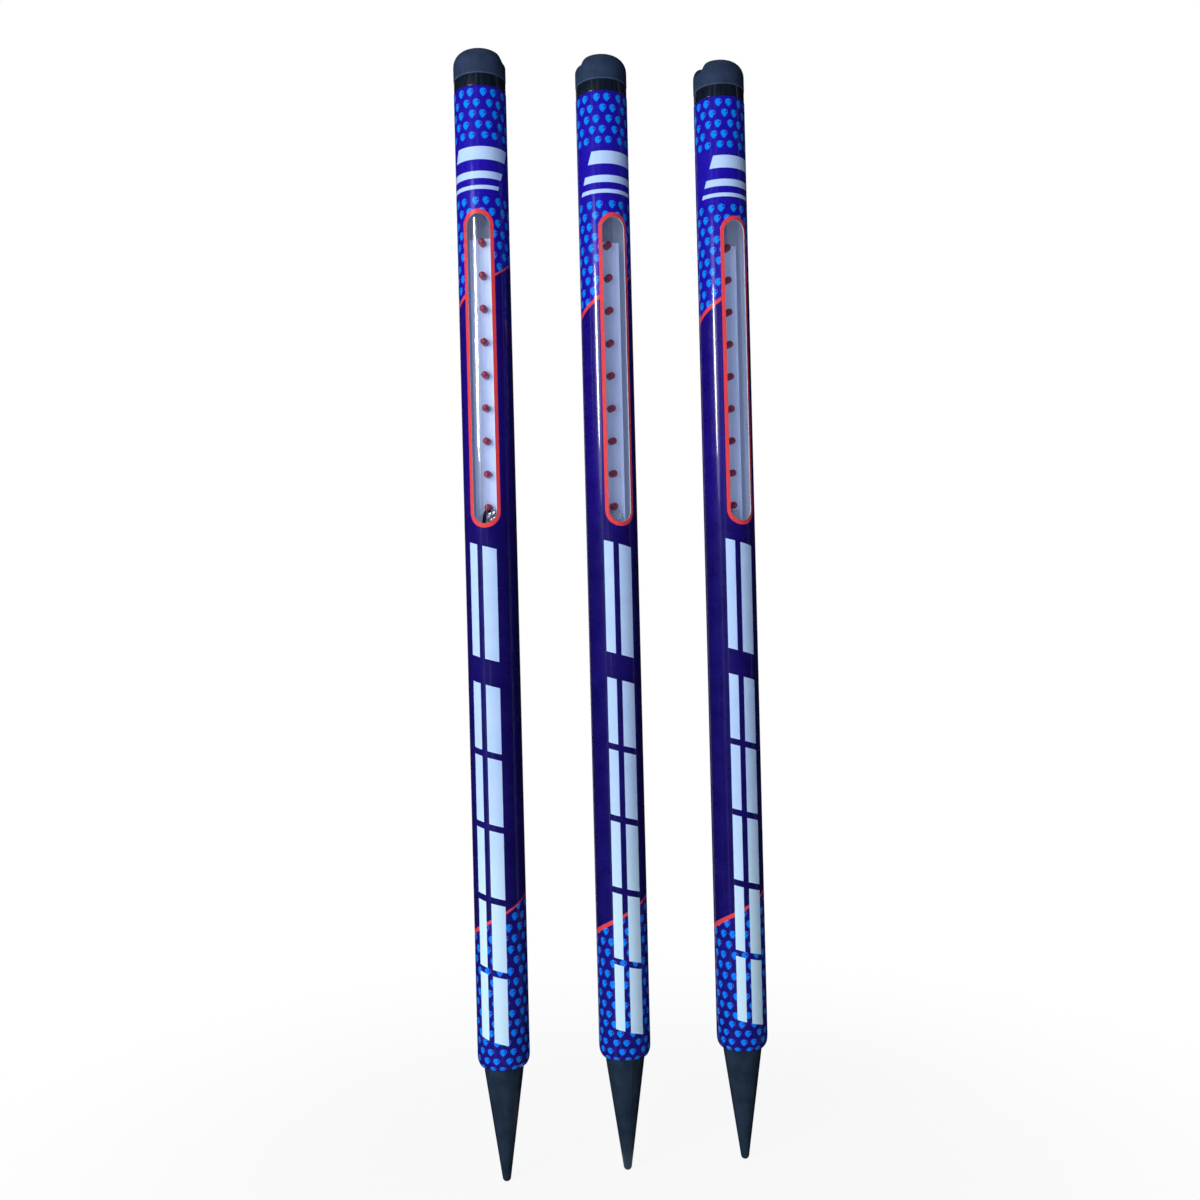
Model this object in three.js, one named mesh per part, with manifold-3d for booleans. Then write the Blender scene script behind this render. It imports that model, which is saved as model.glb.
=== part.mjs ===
// Three flashing cricket stumps, standing in a row along X, in millimetres with +Z up.
// The origin is on the middle stump's axis at the ground line, where barrels end and spikes begin.
// Each stump faces -Y before it is turned about its own axis, and all three are built alike.
import * as THREE from 'three';
import { mergeVertices } from 'three/addons/utils/BufferGeometryUtils.js';
import Module from 'manifold-3d';

const wasm = await Module();
wasm.setup();

// Layout of the row, with each stump's turn about its own axis in degrees
const stumpSpacing = 86.5;
const stumps = [
  { name: 'left', placeShare: -1, turn: -16 },
  { name: 'middle', placeShare: 0, turn: 12 },
  { name: 'right', placeShare: 1, turn: 16 },
];

// Whole stump
const barrelHeight = 711;
const tubeRadius = 17.8;
const tubeWall = 2;
const sleeveGap = 0.2;
const sleeveWall = 0.35;
const fitGap = 0.3;
const cutOverrun = 5;
const roundSteps = 32;

// Spike
const spikeLength = 83;
const spikeNeckStep = 0.3;
const spikeNeckHeight = 1.5;
const spikeTipRadius = 3;
const spikeTipSteps = 4;
const shoulderHeight = 7.5;
const shoulderInset = 3.5;
const shoulderSteps = 4;
const spigotLength = 40;
const spineSeatDepth = 8;

// Cap
const capHeight = 20.8;
const capCornerRadius = 10;
const capCrown = 0.4;
const capCornerSteps = 6;
const capPlugRadius = 11;
const capPlugWall = 3;
const capPlugLength = 13;
const capHollowRise = 3.5;
const grooveWidth = 12;
const grooveDepth = 9.5;
const grooveFilletRadius = 3;
const grooveFilletSteps = 3;
const grooveLipRadius = 3.5;
const grooveLipSteps = 4;

// Top plug and its button
const collarHeight = 8.5;
const collarInset = 0.25;
const topPlugBase = 17;
const buttonRadius = 4;
const buttonHeight = 8;
const buttonTravel = 1.5;
const buttonSeatDepth = 5;
const buttonRimRadius = 1;
const buttonSteps = 16;

// Window in the sleeve
const windowLength = 214;
const windowHalfWidth = 8.3;
const windowCentreDrop = 225;
const windowEndSteps = 12;

// Lamps
const ledCount = 9;
const ledPitch = 23.2;
const ledRowDrop = 2.2;
const ledRadius = 2.5;
const ledHeight = 8.6;
const ledFlangeRadius = 2.9;
const ledFlangeHeight = 1;
const ledSteps = 8;
const ledDomeSteps = 3;
const ledHoleSteps = 10;

// Channel strip that carries the lamps
const channelWidth = 19;
const channelFaceDepth = 3;
const channelFaceWall = 0.8;
const channelSideWall = 1.2;
const channelSideDepth = 10.7;
const channelTopMargin = 3.3;
const channelEndMargin = 25;

// Wiring board behind the lamps
const wiringBoardWall = 1.6;
const wiringBoardEndInset = 2;

// Carrier's spine and the cradle of the cell
const spineWidth = 18;
const spineWall = 2.5;
const cradleWall = 2;
const cradleReach = 12;
const cradleDrop = 9;

// Cell
const cellRadius = 9.2;
const cellLength = 65;
const cellNubRadius = 2.75;
const cellNubHeight = 1;
const cellSteps = 24;

// Control board
const boardLength = 50;
const boardWall = 1.6;
const postHeight = 2;
const postWidth = 4;
const chipWidth = 7;
const chipHeight = 2;
const sensorRadius = 2.4;
const sensorLength = 12;
const sensorSteps = 12;
const socketWidth = 8;
const socketHeight = 6;
const socketLength = 7;
const solderSink = 0.4;

// Heights, radii and depths that follow; a depth is measured from the axis towards the window
const sleeveRadius = tubeRadius + sleeveGap + sleeveWall;
const capBottom = barrelHeight - capHeight;
const collarTop = capBottom - fitGap;
const collarBottom = collarTop - collarHeight;
const printTop = collarBottom - fitGap;
const tubeTop = printTop;
const tubeBottom = shoulderHeight + fitGap;
const boreRadius = tubeRadius - tubeWall;
const plugBodyRadius = boreRadius - fitGap;
const shoulderEdgeRadius = tubeRadius - shoulderInset;
const spikeNeckRadius = shoulderEdgeRadius - spikeNeckStep;
const spigotTop = shoulderHeight + spigotLength;
const socketFloor = capBottom - capPlugLength - fitGap;
const topPlugBottom = socketFloor - topPlugBase;
const windowCentre = barrelHeight - windowCentreDrop;
const ledRowCentre = windowCentre - ledRowDrop;
const ledRowHalf = ledPitch * (ledCount - 1) / 2;
const channelTop = ledRowCentre + ledRowHalf + channelTopMargin;
const channelBottom = ledRowCentre - ledRowHalf - channelEndMargin;
const ledBaseDepth = channelFaceDepth - channelFaceWall - fitGap - ledFlangeHeight;
const spineDepth = channelFaceDepth - channelSideDepth - fitGap;
const spineBottom = spigotTop - spineSeatDepth + fitGap;
const spineTop = topPlugBottom + spineSeatDepth - fitGap;
const cellTop = channelBottom - cradleDrop;
const cellBottom = cellTop - cellLength - cellNubHeight;
const cellDepth = spineDepth + fitGap + cellRadius;
const boardTop = cellBottom - cradleWall - cradleDrop;
const boardBottom = boardTop - boardLength;
const boardDepth = spineDepth + postHeight + fitGap + boardWall;

// Merges a geometry's corners, drops its flat faces and turns all faces outwards
function tidy(geometry) {
  geometry.deleteAttribute('normal');
  geometry.deleteAttribute('uv');
  const merged = mergeVertices(geometry);
  const places = merged.attributes.position;
  const corner = [new THREE.Vector3(), new THREE.Vector3(), new THREE.Vector3()];
  const faces = [];
  let volume = 0;
  for (let i = 0; i < merged.index.count; i += 3) {
    const face = [0, 1, 2].map((k) => merged.index.getX(i + k));
    if (new Set(face).size < 3) continue;
    face.forEach((vertex, k) => corner[k].fromBufferAttribute(places, vertex));
    volume += corner[0].dot(corner[1].clone().cross(corner[2]));
    faces.push(face);
  }
  merged.setIndex(faces.flatMap(([a, b, c]) => (volume > 0 ? [a, b, c] : [a, c, b])));
  return merged;
}

function toSolid(geometry) {
  const clean = tidy(geometry.clone());
  const vertProperties = new Float32Array(clean.attributes.position.array);
  const triVerts = new Uint32Array(clean.index.array);
  return new wasm.Manifold(new wasm.Mesh({ numProp: 3, vertProperties, triVerts }));
}

function toGeometry(solid) {
  const mesh = solid.getMesh();
  const geometry = new THREE.BufferGeometry();
  geometry.setAttribute('position', new THREE.BufferAttribute(mesh.vertProperties, 3));
  geometry.setIndex(new THREE.BufferAttribute(mesh.triVerts, 1));
  return geometry;
}

function joined(geometries) {
  return toGeometry(geometries.map(toSolid).reduce((sum, solid) => sum.add(solid)));
}

function cut(geometry, cutters) {
  return toGeometry(cutters.map(toSolid).reduce((rest, solid) => rest.subtract(solid), toSolid(geometry)));
}

// Points of an elliptical arc about a centre, angles in radians
function arc(x, y, reachX, reachY, from, to, steps) {
  return Array.from({ length: steps + 1 }, (_, i) => {
    const angle = from + (to - from) * i / steps;
    return new THREE.Vector2(x + reachX * Math.cos(angle), y + reachY * Math.sin(angle));
  });
}

function point(x, y) {
  return new THREE.Vector2(x, y);
}

// An outline of radius and height turned about Z
function turned(outline, steps = roundSteps) {
  return tidy(new THREE.LatheGeometry(outline, steps).rotateX(Math.PI / 2));
}

// A cylinder on Z between two heights
function column(radius, bottom, top, steps = roundSteps) {
  return turned([point(0, bottom), point(radius, bottom), point(radius, top), point(0, top)], steps);
}

// A box between two corners, each given as X, depth towards the window, and height
function block(low, high) {
  const [width, depth, height] = high.map((value, k) => value - low[k]);
  const [x, y, z] = high.map((value, k) => (value + low[k]) / 2);
  return tidy(new THREE.BoxGeometry(width, depth, height).translate(x, -y, z));
}

// An outline in one plane drawn out along the third direction
function drawn(outline, length, across, up, along) {
  const geometry = new THREE.ExtrudeGeometry(new THREE.Shape(outline), { depth: length, bevelEnabled: false });
  return tidy(geometry.applyMatrix4(new THREE.Matrix4().makeBasis(across, up, along)));
}

const rightwards = new THREE.Vector3(1, 0, 0);
const backwards = new THREE.Vector3(0, 1, 0);
const forwards = new THREE.Vector3(0, -1, 0);
const upwards = new THREE.Vector3(0, 0, 1);

// Rounded tip, cone, neck, shoulder and spigot in one moulding, with a seat for the carrier's spine
function makeSpike() {
  const tipCentre = -spikeLength + spikeTipRadius;
  const coneRise = -spikeNeckHeight - tipCentre;
  const toNeck = Math.hypot(spikeNeckRadius, coneRise);
  const coneAngle = Math.atan2(spikeNeckRadius, coneRise) - Math.asin(spikeTipRadius / toNeck);
  const body = turned([
    ...arc(0, tipCentre, spikeTipRadius, spikeTipRadius, -Math.PI / 2, -coneAngle, spikeTipSteps),
    point(spikeNeckRadius, -spikeNeckHeight),
    point(spikeNeckRadius, 0),
    ...arc(shoulderEdgeRadius, shoulderHeight, shoulderInset, shoulderHeight, -Math.PI / 2, 0, shoulderSteps),
    point(plugBodyRadius, shoulderHeight),
    point(plugBodyRadius, spigotTop),
    point(0, spigotTop),
  ]);
  const seat = block(
    [-spineWidth / 2 - fitGap, spineDepth - spineWall - fitGap, spigotTop - spineSeatDepth],
    [spineWidth / 2 + fitGap, spineDepth + fitGap, spigotTop + cutOverrun],
  );
  return cut(body, [seat]);
}

function makeTube() {
  return turned([
    point(boreRadius, tubeBottom),
    point(tubeRadius, tubeBottom),
    point(tubeRadius, tubeTop),
    point(boreRadius, tubeTop),
    point(boreRadius, tubeBottom),
  ]);
}

// Points of the shoulder's curve at a distance outside it, from the edge up
function shoulderCurve(offset) {
  const reach = [shoulderInset + offset, shoulderHeight + offset];
  return arc(shoulderEdgeRadius, shoulderHeight, ...reach, -Math.PI / 2, 0, shoulderSteps);
}

// Thin skin round the tube, curled round the spike's shoulder, with the clear window as a slot
function makeSleeve() {
  const outside = sleeveGap + sleeveWall;
  const skin = turned([
    ...shoulderCurve(outside),
    point(sleeveRadius, printTop),
    point(tubeRadius + sleeveGap, printTop),
    ...shoulderCurve(sleeveGap).reverse(),
    point(shoulderEdgeRadius, -outside),
  ]);
  const straightHalf = windowLength / 2 - windowHalfWidth;
  const ends = [windowCentre - straightHalf, windowCentre + straightHalf];
  const slot = [
    ...arc(0, ends[0], windowHalfWidth, windowHalfWidth, Math.PI, 2 * Math.PI, windowEndSteps),
    ...arc(0, ends[1], windowHalfWidth, windowHalfWidth, 0, Math.PI, windowEndSteps),
  ];
  return cut(skin, [drawn(slot, sleeveRadius + cutOverrun, rightwards, upwards, forwards)]);
}

// Rubber cap: domed top with the bail groove across it, and a hollow plug that clears the button
function makeCap() {
  const cornerHeight = barrelHeight - capCrown - capCornerRadius;
  const cornerCentre = sleeveRadius - capCornerRadius;
  const plugBottom = capBottom - capPlugLength;
  const hollowRadius = capPlugRadius - capPlugWall;
  const hollowTop = capBottom + capHollowRise;
  const body = turned([
    point(0, hollowTop),
    point(hollowRadius, hollowTop),
    point(hollowRadius, plugBottom),
    point(capPlugRadius, plugBottom),
    point(capPlugRadius, capBottom),
    point(sleeveRadius, capBottom),
    ...arc(cornerCentre, cornerHeight, capCornerRadius, capCornerRadius, 0, Math.PI / 2, capCornerSteps),
    point(0, barrelHeight),
  ]);
  const floor = barrelHeight - grooveDepth;
  const filletCentre = grooveWidth / 2 - grooveFilletRadius;
  const filletHeight = floor + grooveFilletRadius;
  const fillet = [grooveFilletRadius, grooveFilletRadius];
  const lipCentre = grooveWidth / 2 + grooveLipRadius;
  const lipHeight = barrelHeight - grooveLipRadius;
  const lip = [grooveLipRadius, grooveLipRadius];
  const groove = [
    point(lipCentre, barrelHeight + cutOverrun),
    point(-lipCentre, barrelHeight + cutOverrun),
    ...arc(-lipCentre, lipHeight, ...lip, Math.PI / 2, 0, grooveLipSteps),
    ...arc(-filletCentre, filletHeight, ...fillet, Math.PI, 1.5 * Math.PI, grooveFilletSteps),
    ...arc(filletCentre, filletHeight, ...fillet, 1.5 * Math.PI, 2 * Math.PI, grooveFilletSteps),
    ...arc(lipCentre, lipHeight, ...lip, Math.PI, Math.PI / 2, grooveLipSteps),
  ];
  const reach = sleeveRadius + cutOverrun;
  const cutter = drawn(groove, 2 * reach, backwards, upwards, rightwards).translate(-reach, 0, 0);
  return cut(body, [cutter]);
}

// Plug in the tube's top, with a glossy collar on the tube's end, the cap's socket and the spine's slot
function makeTopPlug() {
  const collarRadius = sleeveRadius - collarInset;
  const body = turned([
    point(0, topPlugBottom),
    point(plugBodyRadius, topPlugBottom),
    point(plugBodyRadius, collarBottom),
    point(collarRadius, collarBottom),
    point(collarRadius, collarTop),
    point(0, collarTop),
  ]);
  const socket = column(capPlugRadius + fitGap, socketFloor, collarTop + cutOverrun);
  const buttonSeat = column(buttonRadius + fitGap, socketFloor - buttonSeatDepth, collarTop, buttonSteps);
  const spineSlot = block(
    [-spineWidth / 2 - fitGap, spineDepth - spineWall - fitGap, topPlugBottom - cutOverrun],
    [spineWidth / 2 + fitGap, spineDepth + fitGap, topPlugBottom + spineSeatDepth],
  );
  return cut(body, [socket, buttonSeat, spineSlot]);
}

function makePowerButton() {
  const bottom = socketFloor - buttonSeatDepth + buttonTravel + fitGap;
  const top = bottom + buttonHeight;
  const rimCentre = buttonRadius - buttonRimRadius;
  const rimHeight = top - buttonRimRadius;
  return turned([
    point(0, bottom),
    point(buttonRadius, bottom),
    ...arc(rimCentre, rimHeight, buttonRimRadius, buttonRimRadius, 0, Math.PI / 2, 2),
    point(0, top),
  ], buttonSteps);
}

function ledHeights() {
  return Array.from({ length: ledCount }, (_, i) => ledRowCentre + ledRowHalf - i * ledPitch);
}

// Pale channel, open at its back, with a hole in its face for each lamp
function makeLedChannel() {
  const back = channelFaceDepth - channelSideDepth;
  const half = channelWidth / 2;
  const body = block([-half, back, channelBottom], [half, channelFaceDepth, channelTop]);
  const hollow = block(
    [-half + channelSideWall, back - cutOverrun, channelBottom - cutOverrun],
    [half - channelSideWall, channelFaceDepth - channelFaceWall, channelTop + cutOverrun],
  );
  const holeTop = channelFaceDepth + cutOverrun;
  const hole = column(ledRadius + fitGap, 0, holeTop, ledHoleSteps).rotateX(Math.PI / 2);
  const holes = ledHeights().map((height) => hole.clone().translate(0, 0, height));
  return cut(body, [hollow, ...holes]);
}

// One lamp with its flange and dome, standing on its base and pointing up
function makeLed() {
  const domeHeight = ledHeight - ledRadius;
  return turned([
    point(0, 0),
    point(ledFlangeRadius, 0),
    point(ledFlangeRadius, ledFlangeHeight),
    point(ledRadius, ledFlangeHeight),
    ...arc(0, domeHeight, ledRadius, ledRadius, 0, Math.PI / 2, ledDomeSteps),
  ], ledSteps);
}

function makeLedBoard() {
  const half = channelWidth / 2 - channelSideWall - fitGap;
  const face = ledBaseDepth - fitGap;
  return block(
    [-half, face - wiringBoardWall, channelBottom + wiringBoardEndInset],
    [half, face, channelTop - wiringBoardEndInset],
  );
}

// Spine with the two ends of the cell's cradle and the posts of the control board
function makeCarrier() {
  const half = spineWidth / 2;
  const cradleFace = spineDepth + cradleReach;
  const postFace = spineDepth + postHeight;
  const parts = [block([-half, spineDepth - spineWall, spineBottom], [half, spineDepth, spineTop])];
  for (const end of [cellTop + fitGap, cellBottom - fitGap - cradleWall]) {
    parts.push(block([-half, spineDepth - spineWall, end], [half, cradleFace, end + cradleWall]));
  }
  for (const foot of [boardBottom + postWidth, boardTop - 2 * postWidth]) {
    const side = postWidth / 2;
    parts.push(block([-side, spineDepth - spineWall, foot], [side, postFace, foot + postWidth]));
  }
  return joined(parts);
}

function makeBattery() {
  const barrelTop = cellTop - cellNubHeight;
  return turned([
    point(0, cellBottom),
    point(cellRadius, cellBottom),
    point(cellRadius, barrelTop),
    point(cellNubRadius, barrelTop),
    point(cellNubRadius, cellTop),
    point(0, cellTop),
  ], cellSteps).translate(0, -cellDepth, 0);
}

// Board with the flasher chip, the round shock sensor and the cell's socket soldered on
function makeControlBoard() {
  const half = spineWidth / 2;
  const root = boardDepth - solderSink;
  const middle = (boardBottom + boardTop) / 2;
  const board = block([-half, boardDepth - boardWall, boardBottom], [half, boardDepth, boardTop]);
  const chip = block(
    [-chipWidth / 2, root, middle - chipWidth / 2],
    [chipWidth / 2, boardDepth + chipHeight, middle + chipWidth / 2],
  );
  const socket = block(
    [-socketWidth / 2, root, boardTop - socketLength],
    [socketWidth / 2, boardDepth + socketHeight, boardTop - solderSink],
  );
  const sensorFoot = boardBottom + solderSink;
  const sensor = column(sensorRadius, sensorFoot, sensorFoot + sensorLength, sensorSteps);
  sensor.translate(0, -boardDepth - sensorRadius + solderSink, 0);
  return joined([board, chip, socket, sensor]);
}

function finish(color, roughness, metalness = 0) {
  return new THREE.MeshStandardMaterial({ color, roughness, metalness });
}

const clearPlastic = finish('#c9d3dc', 0.08);
clearPlastic.transparent = true;
clearPlastic.opacity = 0.3;

const pieces = {
  spike: [makeSpike(), finish('#181f2b', 0.5)],
  tube: [makeTube(), clearPlastic],
  sleeve: [makeSleeve(), finish('#23108c', 0.15)],
  cap: [makeCap(), finish('#232b3a', 0.8)],
  top_plug: [makeTopPlug(), finish('#0b0f16', 0.2)],
  power_button: [makePowerButton(), finish('#b3261e', 0.4)],
  led_channel: [makeLedChannel(), finish('#c3cdea', 0.35)],
  led_board: [makeLedBoard(), finish('#1d5a34', 0.5)],
  carrier: [makeCarrier(), finish('#6f7c97', 0.5)],
  battery: [makeBattery(), finish('#2f66a8', 0.35)],
  control_board: [makeControlBoard(), finish('#1d5a34', 0.5)],
};
const led = [makeLed(), finish('#7d1a30', 0.15)];

function makeMesh(name, [geometry, material]) {
  const mesh = new THREE.Mesh(geometry, material);
  mesh.name = name;
  return mesh;
}

function makeStump({ name, placeShare, turn }) {
  const stump = new THREE.Group();
  for (const [piece, model] of Object.entries(pieces)) stump.add(makeMesh(`${name}_${piece}`, model));
  ledHeights().forEach((height, i) => {
    const lamp = makeMesh(`${name}_led_${i + 1}`, led);
    lamp.position.set(0, -ledBaseDepth, height);
    lamp.rotation.x = Math.PI / 2;
    stump.add(lamp);
  });
  stump.position.x = placeShare * stumpSpacing;
  stump.rotation.z = THREE.MathUtils.degToRad(turn);
  return stump;
}

const row = new THREE.Group();
for (const stump of stumps) row.add(makeStump(stump));

export default row;
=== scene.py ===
from math import acos, asin, atan2, cos, exp, hypot, pi, radians, sin, sqrt, tan, tau

import bmesh
import bpy
from mathutils import Matrix, Vector, noise


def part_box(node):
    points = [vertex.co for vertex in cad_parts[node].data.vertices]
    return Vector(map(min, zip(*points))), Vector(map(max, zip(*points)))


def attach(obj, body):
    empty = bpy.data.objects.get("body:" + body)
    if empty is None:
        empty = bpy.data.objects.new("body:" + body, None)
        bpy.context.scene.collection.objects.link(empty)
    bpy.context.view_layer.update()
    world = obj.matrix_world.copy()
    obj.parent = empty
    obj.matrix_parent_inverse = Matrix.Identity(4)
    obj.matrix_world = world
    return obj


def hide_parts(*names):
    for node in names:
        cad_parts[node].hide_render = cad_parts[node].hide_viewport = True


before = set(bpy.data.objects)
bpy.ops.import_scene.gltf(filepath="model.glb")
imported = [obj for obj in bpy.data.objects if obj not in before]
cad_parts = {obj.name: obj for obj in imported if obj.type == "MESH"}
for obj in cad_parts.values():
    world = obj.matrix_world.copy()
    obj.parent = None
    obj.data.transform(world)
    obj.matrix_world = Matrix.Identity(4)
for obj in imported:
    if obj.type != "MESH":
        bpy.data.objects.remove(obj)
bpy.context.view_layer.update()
scene = bpy.context.scene

# Three flashing cricket stumps in a row, dressed round their CAD frame. All lengths are in metres.
SIDES = ("left", "middle", "right")
LAMP_COUNT = 9
ROUND = 144
FINE_ROUND = 256
SMALL_ROUND = 40
DOME_STEPS = 12
SHARP_ANGLE = radians(32)
TINY = 1e-6
QUARTER_X = Matrix.Rotation(pi / 2, 4, "X")
QUARTER_Z = Matrix.Rotation(pi / 2, 4, "Z")
# Unit of the roundings of small edges
EASE = 0.0001

# Camera, level and turned a little to the right, with a slight roll
CAMERA_PLACE = Vector((-0.1402, -0.8471, 0.3048))
CAMERA_YAW = radians(-8.71)
CAMERA_ROLL = radians(-1.43)
CAMERA_LENS = 36.0
CAMERA_SENSOR = 36.0
CAMERA_SHIFT_Y = 0.0233
CAMERA_CLIP = 0.01

# Window in the printed sleeve
WINDOW_LENGTH = 0.214
WINDOW_HALF = 0.0083
WINDOW_STRAIGHT = WINDOW_LENGTH / 2 - WINDOW_HALF
WINDOW_MID = 0.486
WINDOW_STEPS = 28
WINDOW_LINE = 0.003

# Sleeve's skin
SLEEVE_WALL = 0.00035
SLEEVE_COLUMNS = 120
SLEEVE_LEVELS = 24
CURL_SHARE = 0.42
RIM_RISE = 0.0005
RIM_WAVE = 0.0003
RIM_WAVE_SCALE = 1.4
RIM_WAVE_SEED = 5.0
RIM_TILT_SEED = 2.1

# Flat maps that the print and the strip are painted by
PRINT_MAP = "print"
STRIP_MAP = "strip"

# Print on the sleeve
DROP_PERIODS = 7
DROP_PAIR = 0.0073
DROP_ROW = 0.0075
DROP_TOP = 0.6766
DROP_START = -0.0104
DROP_SHIFT = 0.2567
DROP_RADIUS = 0.0022
DROP_POINT = 0.0033
DROP_NARROWING = 0.55
DROP_RISE = 0.0005
DROP_BLUR = 0.00028
NICK_PLACE = (0.8 * DROP_RADIUS, 0.15 * DROP_RADIUS)
NICK_RADIUS = 0.36 * DROP_RADIUS
GLINT_RING = (1.02 * DROP_RADIUS, 1.16 * DROP_RADIUS)
GLINT_PLACE = (DROP_RADIUS, 0.15 * DROP_RADIUS)
GLINT_REACH = 0.6 * DROP_RADIUS
SQUEEZE = 0.125
SQUEEZE_HIGH = 0.06
BAND = (0.6045, 0.6445)
# Slope and height of each slanted line
UPPER_LINE = (0.574, 0.545)
LOWER_LINE = (0.509, 0.1066)
LINE_WIDTH = 0.0023
LINE_TAPER = 0.05
STRIPES = ((-0.0128, -0.0062), (-0.0022, 0.0076))
STRIPE_RUNS = ((0.02, 0.267, 5), (0.285, 0.363, 1))
STRIPE_GAP = 0.0045
STRIPE_SLANT = -0.27
BARS = ((0.63, 0.639), (0.617, 0.622), (0.6095, 0.6122))
BAR_ENDS = (-0.027, 0.014)
BAR_SLANT = 0.35
# Heights between which the ground and the pale stripes change shade
GROUND_CHANGE = (0.35, 0.42)
PALE_CHANGE = (0.08, 0.22)
EDGE_BLUR = 0.00012
SEAM_HALF = 0.0022
SEAM_SHADE = 0.5
SEAM_STEP = 0.4
# Painted light: a soft lighter upright band on the inside of the film's back
BACK_LIGHT_BAND = (0.04, 0.047)
BACK_LIGHT_BAND_BLUR = 0.003

# Other finishes
GLASS_SHINE = 0.05
GLASS_EDGE = 0.5
GLASS_POWER = 5.0
# Painted shade: a darker line along a groove beside the strip's lamps
STRIP_GROOVE_SHADE = (-0.0052, -0.0049)
STRIP_JOINT = (0.46, 0.4604)
TRACK_PITCH = 0.0022
TRACK_LEVELS = 0.0116

# Painted glow: the film's back and the pale strip give off a little light of their own, in place of light
# soaking through them from behind
PAINTED_GLOW_COLOUR = (0.48, 0.58, 0.84, 1.0)
FILM_PAINTED_GLOW = 0.11
STRIP_PAINTED_GLOW = 0.13


def shade(red, green, blue):
    """A screen colour of 0 to 255 as a shader's linear colour."""
    parts = [value / 255 for value in (red, green, blue)]
    return tuple(p / 12.92 if p <= 0.04045 else ((p + 0.055) / 1.055) ** 2.4 for p in parts) + (1.0,)


class Nodes:
    """A material's or a world's node tree, with a short call for each kind of node."""

    def __init__(self, name, owners=bpy.data.materials, output="OutputMaterial"):
        self.owner = owners.new(name)
        self.owner.use_nodes = True
        self.tree = self.owner.node_tree
        self.tree.nodes.clear()
        self.output = self.node(output)

    def put(self, socket, value):
        if isinstance(value, bpy.types.NodeSocket):
            self.tree.links.new(value, socket)
        else:
            socket.default_value = value

    def node(self, kind, **inputs):
        """A new node, with some of its inputs set by name."""
        made = self.tree.nodes.new("ShaderNode" + kind)
        for name, value in inputs.items():
            self.put(made.inputs[name.replace("_", " ")], value)
        return made

    def math(self, operation, *values, clamp=False):
        node = self.node("Math")
        node.operation = operation
        node.use_clamp = clamp
        for socket, value in zip(node.inputs, values):
            self.put(socket, value)
        return node.outputs[0]

    def times(self, *values):
        return self.math("MULTIPLY", *values)

    def minus(self, *values):
        return self.math("SUBTRACT", *values)

    def over(self, *values):
        return self.math("DIVIDE", *values)

    def scaled(self, value, factor, added, clamp=False):
        return self.math("MULTIPLY_ADD", value, factor, added, clamp=clamp)

    def squared(self, value):
        return self.math("POWER", value, 2.0)

    def at_least(self, *values):
        return self.math("MAXIMUM", *values)

    # Masks are 1 inside and 0 outside
    both = times
    either = at_least

    def below(self, value, limit, blur=EDGE_BLUR):
        """1 where the value is under the limit, 0 above it, with a soft edge."""
        return self.scaled(self.minus(limit, value), 0.5 / blur, 0.5, clamp=True)

    def between(self, value, low, high, blur=EDGE_BLUR):
        return self.both(self.below(value, high, blur), self.below(low, value, blur))

    def spread(self, value, low=0.3, high=0.7, to_low=0.0, to_high=1.0):
        """A value taken smoothly from one range to another. Most noise is within 0.3 to 0.7."""
        node = self.node("MapRange")
        node.interpolation_type = "SMOOTHSTEP"
        for socket, number in zip(node.inputs, (value, low, high, to_low, to_high)):
            self.put(socket, number)
        return node.outputs[0]

    def mix(self, share, first, second):
        """A colour between two others, which are the node's inputs 6 and 7."""
        node = self.node("Mix")
        node.data_type = "RGBA"
        for number, value in ((0, share), (6, first), (7, second)):
            self.put(node.inputs[number], value)
        return node.outputs[2]

    def mottled(self, pattern, low, high):
        """A pattern in two screen colours."""
        return self.mix(self.spread(pattern), shade(*low), shade(*high))

    def tint(self, colour, mask, strength, tone):
        """A colour drawn towards a screen colour under a mask."""
        return self.mix(self.times(mask, strength), colour, shade(*tone))

    def place(self):
        return self.node("TexCoord").outputs["Object"]

    def axes(self, vector=None):
        return self.node("SeparateXYZ", Vector=vector or self.place()).outputs[:3]

    def mapped(self, name):
        """The two coordinates of a piece's own flat map, in metres."""
        node = self.node("UVMap")
        node.uv_map = name
        return self.axes(node.outputs[0])[:2]

    def noise(self, scale, detail=3.0, rough=0.5, upright=1.0):
        """Noise in the piece's own axes, drawn out in height where upright is under 1."""
        place = self.place()
        if upright != 1.0:
            place = self.node("Mapping", Vector=place, Scale=(1.0, 1.0, upright)).outputs[0]
        return self.node("TexNoise", Vector=place, Scale=scale, Detail=detail, Roughness=rough).outputs[0]

    def cells(self, scale):
        return self.node("TexVoronoi", Vector=self.place(), Scale=scale).outputs["Distance"]

    def bump(self, height, strength, distance):
        return self.node("Bump", Strength=strength, Distance=distance, Height=height).outputs[0]

    def surface(self, colour, rough, **settings):
        return self.node("BsdfPrincipled", Base_Color=colour, Roughness=rough, **settings).outputs[0]

    def mix_shaders(self, share, first, second):
        node = self.node("MixShader")
        for socket, value in zip(node.inputs, (share, first, second)):
            self.put(socket, value)
        return node.outputs[0]

    def sees_white(self):
        """1 for rays that meet white: the camera's, reflected ones and those through clear parts."""
        path = self.node("LightPath")
        seen = self.either(path.outputs["Is Camera Ray"], path.outputs["Is Glossy Ray"])
        return self.either(seen, path.outputs["Is Transmission Ray"])

    def done(self, shader):
        self.tree.links.new(shader, self.output.inputs["Surface"])
        return self.owner

    def finish(self, colour, rough, **settings):
        return self.done(self.surface(colour, rough, **settings))


# Finishes


def distance(mat, x, y, centre_x=0.0, centre_y=0.0):
    across = mat.squared(mat.minus(x, centre_x))
    up = mat.squared(mat.minus(y, centre_y))
    return mat.math("SQRT", mat.math("ADD", across, up))


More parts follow.
